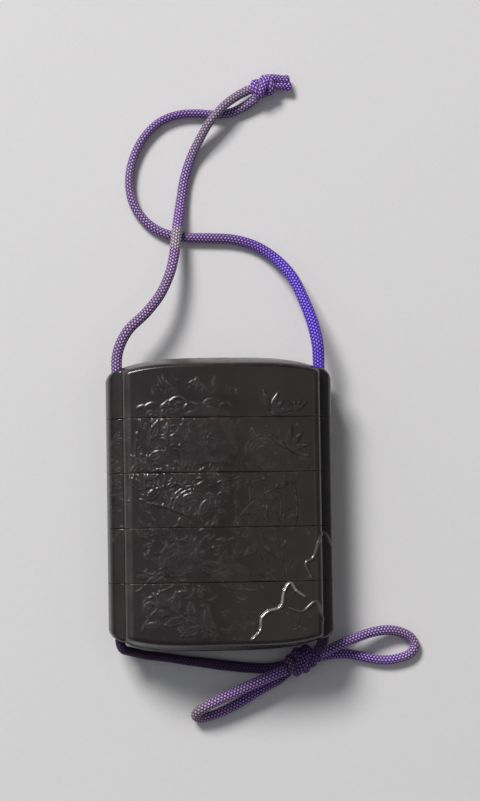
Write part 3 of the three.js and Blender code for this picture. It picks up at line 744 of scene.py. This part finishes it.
# ------------------------------------------------------------------ relief on the front
CARVING_STEP = 0.1
CARVING_REACH = (31, 40)    # across and along, from the middle of the front
CURVE_STEP = 0.3
STROKE_TIP = 0.45           # width of a stroke at its ends, of its full width
BLADE = 0.45                # a leaf's blade, edge, rib and veins, of its full height
BLADE_SLOPE = 0.3           # from the blade's edge to its full height
EDGE = 0.5
EDGE_INSET = 0.25
EDGE_SPREAD = 0.18
RIB = 0.35
RIB_SPREAD = 0.13
RIB_END = 0.9               # of the leaf's length
VEIN = 0.22
LEAF_LEAN = 52              # degrees, from the stem
STEM_STEPS = 6


class Carving:
    """A height map of the front as seen from above: across from the middle, and along the case."""

    def __init__(self):
        self.across, self.along = (np.arange(-reach, reach, CARVING_STEP) for reach in CARVING_REACH)
        self.height = np.zeros((len(self.along), len(self.across)))
        self.silver = np.zeros_like(self.height)
        self.rubbed = np.zeros_like(self.height)

    def window(self, low_x, high_x, low_y, high_y):
        """Where a part of the map lies in it, and the places of its points."""
        columns = slice(*np.searchsorted(self.across, [low_x, high_x]))
        rows = slice(*np.searchsorted(self.along, [low_y, high_y]))
        x, y = np.meshgrid(self.across[columns], self.along[rows])
        return (rows, columns), x, y

    def raise_to(self, where, height):
        self.height[where] = np.maximum(self.height[where], height)

    def sample(self, layer, x, y):
        """A layer's value at any place of the front."""
        i = np.clip((x - self.across[0]) / CARVING_STEP, 0, len(self.across) - 1.001)
        j = np.clip((y - self.along[0]) / CARVING_STEP, 0, len(self.along) - 1.001)
        i0, j0 = i.astype(int), j.astype(int)
        fi, fj = i - i0, j - j0
        return (layer[j0, i0] * (1 - fi) * (1 - fj) + layer[j0, i0 + 1] * fi * (1 - fj)
                + layer[j0 + 1, i0] * (1 - fi) * fj + layer[j0 + 1, i0 + 1] * fi * fj)


def curve_points(points):
    path, _ = smooth_path([(x, y, 0) for x, y in points], CURVE_STEP)
    return path[:, :2]


def stroke(carving, points, width, height, silver=0.0):
    """A raised line with a rounded back, thinning to its ends."""
    path = curve_points(points)
    low, high = path.min(0) - width, path.max(0) + width
    where, x, y = carving.window(low[0], high[0], low[1], high[1])
    best = np.full(x.shape, 1e9)
    share = np.zeros(x.shape)
    for i in range(len(path) - 1):
        a, b = path[i], path[i + 1]
        run = b - a
        t = np.clip(((x - a[0]) * run[0] + (y - a[1]) * run[1]) / (run.dot(run) + 1e-12), 0, 1)
        distance = np.hypot(x - a[0] - t * run[0], y - a[1] - t * run[1])
        nearer = distance < best
        best = np.where(nearer, distance, best)
        share = np.where(nearer, (i + t) / (len(path) - 1), share)
    half = width / 2 * (STROKE_TIP + (1 - STROKE_TIP) * np.sin(math.pi * share) ** 0.5)
    back = np.clip(1 - (best / half) ** 2, 0, 1)
    carving.raise_to(where, height * back ** 0.75)
    if silver:
        carving.silver[where] = np.maximum(carving.silver[where], silver * np.clip(back * 2.2, 0, 1))


def petal(carving, x, y, length, width, angle, height, veins=0, belly=0.8):
    """A leaf or petal from its stalk: a low blade with a raised edge, a raised midrib and fine veins."""
    turn = math.radians(angle)
    reach = length + width
    where, gx, gy = carving.window(x - reach, x + reach, y - reach, y + reach)
    along = ((gx - x) * math.cos(turn) + (gy - y) * math.sin(turn)) / length
    aside = -(gx - x) * math.sin(turn) + (gy - y) * math.cos(turn)
    inside = (along > 0) & (along < 1)
    half = width / 2 * np.sin(math.pi * np.clip(along, 0, 1) ** belly) + 1e-6
    from_edge = half - np.abs(aside)
    blade = BLADE * np.clip(from_edge / BLADE_SLOPE, 0, 1)
    edge = EDGE * np.exp(-((from_edge - EDGE_INSET) / EDGE_SPREAD) ** 2)
    rib = RIB * np.exp(-(aside / RIB_SPREAD) ** 2) * (along < RIB_END)
    if veins:
        wave = np.cos(2 * math.pi * (along * veins - 0.6 * np.abs(aside) / width * veins / 2))
        rib = np.maximum(rib, VEIN * np.clip(wave, 0, 1) * (from_edge > BLADE_SLOPE))
    carving.raise_to(where, np.where(inside & (from_edge > 0), height * (blade + np.maximum(edge, rib)), 0))


def dot(carving, x, y, radius, height):
    """A small rounded knob."""
    where, gx, gy = carving.window(x - radius, x + radius, y - radius, y + radius)
    back = np.clip(1 - ((gx - x) ** 2 + (gy - y) ** 2) / radius ** 2, 0, 1)
    carving.raise_to(where, height * back ** 0.6)


def blossom(carving, x, y, size, height):
    """A full flower seen from above: rings of broad veined petals round a dotted heart."""
    rings = [(9, 0.36, 0.64), (7, 0.2, 0.5), (5, 0.05, 0.4)]     # petals, how far out, and their length
    for ring, (count, out, length) in enumerate(rings):
        for i in range(count):
            angle = 360 * (i + 0.5 * ring) / count + 14
            turn = math.radians(angle)
            petal(carving, x + size * out * math.cos(turn), y + size * out * math.sin(turn), size * length,
                  size * length * 1.05, angle, height * (1 + 0.25 * ring), veins=5, belly=1.5)
    for i in range(7):
        turn = 2 * math.pi * i / 7
        dot(carving, x + 0.09 * size * math.cos(turn), y + 0.09 * size * math.sin(turn), 0.3, height * 1.1)


def spray(carving, x, y, angle, length, bend, leaves, leaf_length, leaf_width, height):
    """A bent stem with veined leaves to both sides and one at its tip."""
    points = [(x, y)]
    stride = length / STEM_STEPS
    for i in range(STEM_STEPS):
        heading = math.radians(angle + bend * i / STEM_STEPS)
        last_x, last_y = points[-1]
        points.append((last_x + stride * math.cos(heading), last_y + stride * math.sin(heading)))
    stroke(carving, points, 0.5, height * 0.9)
    path = curve_points(points)
    for i in range(leaves):
        t = min((i + 0.8) / leaves, 1)
        root = path[int(t * (len(path) - 1))]
        side = 1 if i % 2 else -1
        lean = 0 if i == leaves - 1 else side * LEAF_LEAN
        petal(carving, root[0], root[1], leaf_length, leaf_width, angle + bend * t + lean, height, veins=6)


def fan(carving, x, y, angles, length, width, height, seed):
    """Narrow blades that spread from one place, as on bamboo or grass."""
    chance = np.random.default_rng(seed)
    for angle in angles:
        long = length * chance.uniform(0.75, 1.15)
        petal(carving, x, y, long, width, angle + chance.uniform(-5, 5), height)


def cloud_edge(carving, x, y, sizes, height, seed):
    """The edge of a cloud bank: uneven rounded bumps side by side, some with a smaller curl inside."""
    chance = np.random.default_rng(seed)
    for size in sizes:
        foot = y + chance.uniform(-0.5, 0.5)
        for share, start in ((1.0, 178), (0.5, 160)):
            angles = np.radians(np.linspace(start, chance.uniform(5, 60), 9))
            tall = chance.uniform(0.7, 1.1) * size * share
            arch = [(x + size * share * math.cos(a), foot + tall * math.sin(a)) for a in angles]
            stroke(carving, arch, 0.75, height * chance.uniform(0.3, 1) * (0.4 + 0.6 * share))
        x += chance.uniform(1.4, 1.8) * size


def tufts(carving, box, count, height, seed):
    """Upright pointed needles, thick and thin, over part of the front."""
    chance = np.random.default_rng(seed)
    for _ in range(count):
        x, y = chance.uniform(box[0], box[2]), chance.uniform(box[1], box[3])
        angle = 90 + chance.normal(0, 26) + 2.0 * (box[0] + box[2] - 2 * x)
        length, width = chance.uniform(1.6, 3.4), chance.uniform(0.5, 0.9)
        petal(carving, x, y, length, width, angle, height * chance.uniform(0.4, 1.2))


def ripples(carving, x, y, radius, start, end, count, spacing, height):
    """Arcs inside one another, as in swirling water."""
    for i in range(count):
        size = radius - spacing * i
        angles = np.radians(np.linspace(start, end - 12 * i, 9))
        stroke(carving, [(x + size * math.cos(a), y + size * math.sin(a)) for a in angles], 0.5, height)


def undergrowth(carving, box, count, height, seed):
    """Small leaves, curled strokes and seeds strewn over part of the front."""
    chance = np.random.default_rng(seed)
    for i in range(count):
        x, y = chance.uniform(box[0], box[2]), chance.uniform(box[1], box[3])
        angle, size = chance.uniform(0, 360), chance.uniform(1.8, 4.2)
        rise = height * chance.uniform(0.5, 1.1)
        kind = i % 4
        if kind == 0:
            petal(carving, x, y, size, size * 0.42, angle, rise, veins=3)
        elif kind == 1:
            bend = chance.uniform(-1.2, 1.2)
            turn = math.radians(angle)
            points = [(x + t * size * math.cos(turn + bend * t), y + t * size * math.sin(turn + bend * t))
                      for t in np.linspace(0, 1, 5)]
            stroke(carving, points, 0.6, rise)
        elif kind == 2:
            ripples(carving, x, y, size * 0.5, angle, angle + 130, 2, 0.7, rise * 0.8)
        else:
            dot(carving, x, y, chance.uniform(0.3, 0.5), rise)


ROCK_CRESTS = [
    [(6.6, -36.2), (9, -33.8), (9.5, -30.4), (11.4, -28.7), (14.6, -27.6), (15.7, -23.4), (17.4, -21.3),
     (19, -23.4), (21.4, -25.1)],
    [(17, -28), (20.6, -28.9), (24.4, -26.4), (25.6, -29.2), (26.8, -32.6)],
    [(23.4, -20.5), (21.7, -16.2), (23.8, -14.7), (25.3, -10.4), (26.8, -8.1), (28.3, -9.3), (29.2, -11.6)],
]
ROCK_SILVER = [1.0, 0.12, 0.12]     # how much of each crest's silver is left
ROCK_HEIGHT = [0.5, 0.26, 0.3]      # of each crest above the front
ROCK_WIDTH = 0.85
ROCK_KNOB = (0.55, 0.6)             # radius and height, at each bend of the first crest
WEAR_PATCH = 24                     # steps of the height map to one patch of wear
WEAR_KEEPS = (0.45, 1.1)            # how much of the relief a patch keeps
WEAR_LEAST = 0.4
DEPTH = 1.35                        # the whole relief is deepened by this
LEFT_DEPTH = 0.45                   # and by so much more on the left
LEFT_FROM = 4                       # where that starts, from the middle
LEFT_SPREAD = 16                    # and how far on it is full
PROUD = 0.04                        # what stands this far above its surroundings is rubbed pale
HAZE = 0.16                         # paleness of the whole carved ground
HAZE_FULL = 0.06                    # mean height of the relief at which the haze is full


def softened(layer, passes):
    """The height map rounded off, further with each pass."""
    for _ in range(passes):
        for axis in (0, 1):
            layer = (np.roll(layer, 1, axis) + 2 * layer + np.roll(layer, -1, axis)) / 4
    return layer


def worn_down(carving):
    """Takes the relief down unevenly, as by long handling, and notes where its edges are rubbed pale."""
    chance = np.random.default_rng(11)
    rows, columns = carving.height.shape
    mask = chance.uniform(*WEAR_KEEPS, (rows // WEAR_PATCH + 2, columns // WEAR_PATCH + 2))
    down, over = np.arange(rows) / WEAR_PATCH, np.arange(columns) / WEAR_PATCH
    kept = np.array([np.interp(over, np.arange(mask.shape[1]), row) for row in mask])
    kept = np.array([np.interp(down, np.arange(mask.shape[0]), kept[:, i]) for i in range(columns)]).T
    depth = DEPTH + LEFT_DEPTH * np.clip((LEFT_FROM - carving.across) / LEFT_SPREAD, 0, 1)
    carving.height = softened(carving.height * np.clip(kept, WEAR_LEAST, 1) * depth, 2)
    patchy = softened(chance.uniform(-1, 1, carving.height.shape), 12) * 6
    proud = carving.height - softened(carving.height, 18)
    haze = HAZE * np.clip(softened(carving.height, 60) / HAZE_FULL, 0, 1)
    carving.rubbed = np.maximum(np.clip(proud / PROUD, 0, 1) * np.clip(0.45 + patchy, 0, 1), haze)


# each figure, and for each place the values that it is drawn with
FIGURES = [
    (blossom, [(-4.5, 18.4, 8.2, 0.15), (-13.2, -14.9, 4.6, 0.12)]),
    (spray, [
        (-20.6, -1, 96, 19, -26, 7, 6, 2.5, 0.2),
        (-5.5, -5.4, 118, 15, -34, 5, 6.4, 2.7, 0.17),
        (-5, -18.6, 16, 12, 24, 5, 5.4, 2.3, 0.13),
        (-2.6, -34.4, 158, 15, -20, 6, 6.2, 2.4, 0.14),
        (3.5, -4, 50, 14, -30, 4, 4.2, 1.7, 0.13),
        (-22.5, -33.5, 62, 13, -40, 6, 4.8, 1.9, 0.13),
        (16.5, -19, 100, 15, 22, 6, 3.4, 1.2, 0.1),
        (7.5, 4.5, 74, 13, 30, 6, 4.2, 1.7, 0.11),
        (-19, -20.6, 30, 16, 20, 7, 4.4, 1.6, 0.11),
    ]),
    (fan, [
        (12.6, 24.6, (-32, 2, 34, 68, 110), 6.6, 1.4, 0.26, 3),
        (17.2, 14.4, (-18, 16, 48, 82, 140), 6.4, 1.5, 0.28, 4),
        (19.4, 24.2, (38, 66, 92, 128), 4.6, 1.0, 0.18, 5),
    ]),
    (tufts, [((-18.5, 28.6, -2, 32.6), 46, 0.15, 20), ((0.4, 28.6, 3.6, 30.4), 7, 0.15, 21)]),
    (cloud_edge, [
        (-21.2, 25.4, (1.7, 2.1, 1.4), 0.18, 30),
        (-14.2, 25.6, (1.6, 2.6, 2.2), 0.18, 31),
        (-5.6, 25.8, (1.5, 2.2, 1.6), 0.16, 32),
        (-19, 23.6, (1.3, 1.9, 1.5, 1.7, 1.2), 0.12, 33),
    ]),
    (ripples, [
        (-8.2, -1.5, 6.4, 62, 188, 5, 1.0, 0.17),
        (-13.6, 11.2, 4.6, -20, 96, 4, 1.0, 0.15),
        (10.4, 13.6, 4.6, 30, 190, 4, 1.0, 0.11),
        (-20.4, 7.2, 4.6, 110, 210, 3, 1.0, 0.16),
        (1.4, 10.6, 4.2, 190, 330, 3, 1.0, 0.12),
    ]),
    (stroke, [
        ([(-20.4, 0.6), (-15.6, -0.6), (-9.2, -3.2)], 0.8, 0.24),
        ([(-22.8, 19.5), (-23.4, 12.5), (-21.8, 4.2)], 0.6, 0.2),
    ]),
    (undergrowth, [((-23, 0, 2, 23), 160, 0.16, 1)]),
    (tufts, [((-22, 4, 0, 23), 90, 0.16, 22)]),
    (undergrowth, [((-1, -8, 22, 22), 90, 0.10, 2), ((-22, -21, 14, -6), 100, 0.10, 3)]),
    (tufts, [((-22, -14, -2, 2), 60, 0.14, 23)]),
    (undergrowth, [((-22, -37, 8, -21), 70, 0.10, 4), ((-29.5, -8, -27.2, 21), 40, 0.09, 5),
                   ((8, -37, 25, -18), 24, 0.08, 6)]),
]
REEDS = (2.4, 6.2, 10.4, 14.2, 18.6)


def front_relief():
    """Clouds over flowering plants and bamboo, with silvered rocks in the lower right corner."""
    carving = Carving()
    for draw, places in FIGURES:
        for values in places:
            draw(carving, *values)
    for i, x in enumerate(REEDS):
        stroke(carving, [(x, -7.5), (x + 0.9, -1.5), (x + 0.3, 3.4 + i % 3)], 0.5, 0.11)
        dot(carving, x + 0.2, 4.6 + i % 3, 0.6, 0.18)
    worn_down(carving)
    for crest, left, height in zip(ROCK_CRESTS, ROCK_SILVER, ROCK_HEIGHT):
        stroke(carving, crest, ROCK_WIDTH, height, silver=left)
    for x, y in ROCK_CRESTS[0][1:-1]:
        dot(carving, x, y, *ROCK_KNOB)
    return carving


# ------------------------------------------------------------------ lid and trays
SEAM_ROUND = 0.12
SEAM_OPEN = 0.06            # what shows of the gap between neighbours
CROWN_ROUND = 0.9
CROWN_RINGS = 22
CAP_POWER = 0.9             # crowds the rings of a dome slightly towards its edge
STEEP = 0.35                # relief dies away where the front turns down more steeply than this
FADE_RINGS = 3              # and over so many rings of points at a section's ends
RIM_WEAR = 0.35             # how far the wear spreads from a rim
DOME_ROUND_STEPS = 6
SEAM_ROUND_STEPS = 3


def flat_at(height):
    """An end that is level at one height."""
    def level(x, z):
        return np.full(np.shape(x), float(height))
    return level


def base_crown(x, z):
    return -crown(x, z)


def inner_floor(x, z):
    return END_WALL - crown(x, z)


def inner_ceiling(x, z):
    return crown(x, z) - END_WALL


def steps_for(domed):
    return DOME_ROUND_STEPS if domed else SEAM_ROUND_STEPS


def rounded_rim(outline, radius, steps, end_y, up):
    """Rings that turn from the case's side onto its end, last ring on the end face."""
    rings = []
    for i in range(1, steps + 1):
        phi = math.pi / 2 * i / steps
        inset = radius * (1 - math.cos(phi))
        x, z = outline.x - inset * outline.nx, outline.z - inset * outline.nz
        rings.append((x, z, end_y(x, z) - up * radius * (1 - math.sin(phi))))
    return rings


def domed_cap(ring, end_y, count):
    """Rings that shrink from the given one to a point, following the dome."""
    x, z = ring
    rings = []
    for share in 1 - np.linspace(0, 1, count + 1)[1:] ** CAP_POWER:
        rings.append((x * share, z * share, end_y(x * share, z * share)))
    return rings


def capped_side(outline, radius, end_y):
    return domed_cap((outline.x - radius * outline.nx, outline.z - radius * outline.nz), end_y, CROWN_RINGS)


def upper_rings(outline, is_lid, floor, high, riser_top):
    """From the middle of the inner floor up over the riser, or the whole domed top of the lid."""
    if is_lid:
        return capped_side(outline, CROWN_ROUND, crown)[::-1]
    hollow, riser = outline.ring(GAP + RISER_WALL), outline.ring(GAP)
    top = flat_at(riser_top)
    return domed_cap(hollow, floor, 6)[::-1] + [
        (*hollow, floor(*hollow)), (*hollow, top(*hollow)), (*riser, top(*riser)), (*riser, high(*riser))]


def lower_rings(outline, is_lid, is_base, low):
    """From the lower rim into the recess for the next riser, or the whole domed underside of the base."""
    if is_base:
        return capped_side(outline, CROWN_ROUND, base_crown)
    skirt, recess = outline.ring(0), flat_at(low + RISER_HEIGHT)
    rings = [(*skirt, flat_at(low)(*skirt)), (*skirt, recess(*skirt))]
    if not is_lid:
        return rings + domed_cap(skirt, recess, 4)
    hollow = outline.ring(GAP + RISER_WALL)
    return rings + [(*hollow, recess(*hollow)), (*hollow, inner_ceiling(*hollow))] + domed_cap(
        hollow, inner_ceiling, 6)


def section(name, outline, carving, lacquer):
    """One section of the case, as a single closed skin from its inner floor round to its other face."""
    is_lid, is_base = name == "lid", name == TRAYS[-1]
    low, high = span(name, Y)
    riser_top = high
    if not is_lid:
        high += (GAP - SEAM_OPEN) / 2 - RISER_HEIGHT
    if not is_base:
        low -= (GAP - SEAM_OPEN) / 2
    top = crown if is_lid else flat_at(high)
    bottom = base_crown if is_base else flat_at(low)
    floor = inner_floor if is_base else flat_at(low + RISER_HEIGHT + FLOOR)
    top_round = CROWN_ROUND if is_lid else SEAM_ROUND
    bottom_round = CROWN_ROUND if is_base else SEAM_ROUND

    rings = upper_rings(outline, is_lid, floor, top, riser_top)
    rings += rounded_rim(outline, top_round, steps_for(is_lid), top, 1)[::-1]
    side_top = top(outline.x, outline.z) - top_round
    side_bottom = bottom(outline.x, outline.z) + bottom_round
    rows = int((side_top.max() - side_bottom.min()) / FINE) + 1
    first_side = len(rings)
    for share in np.linspace(0, 1, rows):
        rings.append((outline.x, outline.z, side_top + (side_bottom - side_top) * share))
    last_side = len(rings)
    rings += rounded_rim(outline, bottom_round, steps_for(is_base), bottom, -1)
    rings += lower_rings(outline, is_lid, is_base, low)

    grid = np.array(rings).transpose(0, 2, 1)
    x, z, y = grid[..., 0], grid[..., 1], grid[..., 2]
    order = np.arange(len(rings))
    from_ends = np.minimum(order - first_side + 1, last_side - order)
    fade = np.clip(from_ends, 0, FADE_RINGS)[:, None] / FADE_RINGS
    on_front = fade * np.clip(outline.nz / STEEP, 0, 1)
    lift = carving.sample(carving.height, x, y) * on_front
    rubbed = carving.sample(carving.rubbed, x, y) * on_front
    silver = carving.sample(carving.silver, x, y) * (on_front > 0.3)
    from_end = np.minimum(np.abs(y - top(x, z)), np.abs(y - bottom(x, z)))
    x = x + lift * outline.nx
    z = z + lift * outline.nz
    piece = wrapped_sheet(name + "_lacquer", np.stack([x, y, np.maximum(z + MID_Z, 0)], axis=-1))
    mark(piece, "relief", rubbed)
    mark(piece, "silver", silver)
    mark(piece, "rim", np.exp(-(from_end / RIM_WEAR) ** 2))
    mark(piece, "long_edge", np.broadcast_to(outline.long_edge, x.shape))
    close_sheet(piece)
    drill_bores(piece)
    finish_piece(piece, lacquer, name)


def drill_bores(piece):
    """Cuts the cord's way straight through both runners."""
    for side in (-1, 1):
        bpy.ops.object.select_all(action="DESELECT")
        bpy.ops.mesh.primitive_cylinder_add(
            vertices=40, radius=BORE_RADIUS * MM, depth=3 * HALF_LENGTH * MM,
            location=(side * RUNNER_X * MM, 0, MID_Z * MM), rotation=(math.pi / 2, 0, 0))
        drill = bpy.context.active_object
        cut = piece.modifiers.new("bore", "BOOLEAN")
        cut.operation = "DIFFERENCE"
        cut.object = drill
        cut.solver = "MANIFOLD"
        bpy.ops.object.select_all(action="DESELECT")
        bpy.context.view_layer.objects.active = piece
        piece.select_set(True)
        bpy.ops.object.modifier_apply(modifier="bore")
        bpy.data.objects.remove(drill)


def build_case(lacquer):
    outline, carving = Outline(), front_relief()
    for name in ["lid"] + TRAYS:
        section(name, outline, carving, lacquer)


# ------------------------------------------------------------------ studio
FLOOR_SIZE = 6               # metres, as are the places and sizes of the lights
LIGHT_AIM = (0, 0.02, 0)
# name, place, size, watts and tint
LIGHTS = [
    ("key", (-0.98, 1.46, 1.69), (0.82, 0.58), 67.0, (1.0, 0.99, 0.975)),
    ("left_box", (-0.70, 0.03, 0.72), (1.0, 0.9), 1.0, (0.82, 0.90, 1.0)),
    ("sky", (-0.32, 0.1, 1.25), (0.44, 0.8), 0.34, (0.78, 0.87, 1.0)),
    ("right_fill", (0.42, 0, 1.2), (1.0, 0.5), 0.6, (1.0, 0.97, 0.95)),
]
ROOM_TINT = (0.95, 0.97, 1.0, 1)
ROOM_STRENGTH = 0.16


def softbox(name, place, size, power, tint):
    light = bpy.data.lights.new(name, "AREA")
    light.shape = "RECTANGLE"
    light.size, light.size_y = size
    light.energy = power
    light.color = tint
    lamp = bpy.data.objects.new(name, light)
    lamp.location = place
    lamp.rotation_euler = (Vector(LIGHT_AIM) - lamp.location).to_track_quat("-Z", "Y").to_euler()
    bpy.context.scene.collection.objects.link(lamp)


def studio():
    """A pale floor under a key light from beyond the lid and the left, with three dim boxes for the gloss."""
    bpy.ops.object.select_all(action="DESELECT")
    bpy.ops.mesh.primitive_plane_add(size=FLOOR_SIZE)
    floor = bpy.context.active_object
    floor.name = "floor"
    floor.data.materials.append(backdrop_material())
    for light in LIGHTS:
        softbox(*light)
    world = bpy.data.worlds.new("room")
    world.use_nodes = True
    room = world.node_tree.nodes["Background"]
    room.inputs["Color"].default_value = ROOM_TINT
    room.inputs["Strength"].default_value = ROOM_STRENGTH
    bpy.context.scene.world = world
    bpy.context.scene.view_settings.view_transform = "Standard"


place_camera()
silk = silk_material()
lay_cords(silk)
for held in ("cord_in_left_runner", "cord_in_right_runner"):
    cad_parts[held].data.materials.clear()
    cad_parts[held].data.materials.append(silk)
build_case(lacquer_material())
studio()
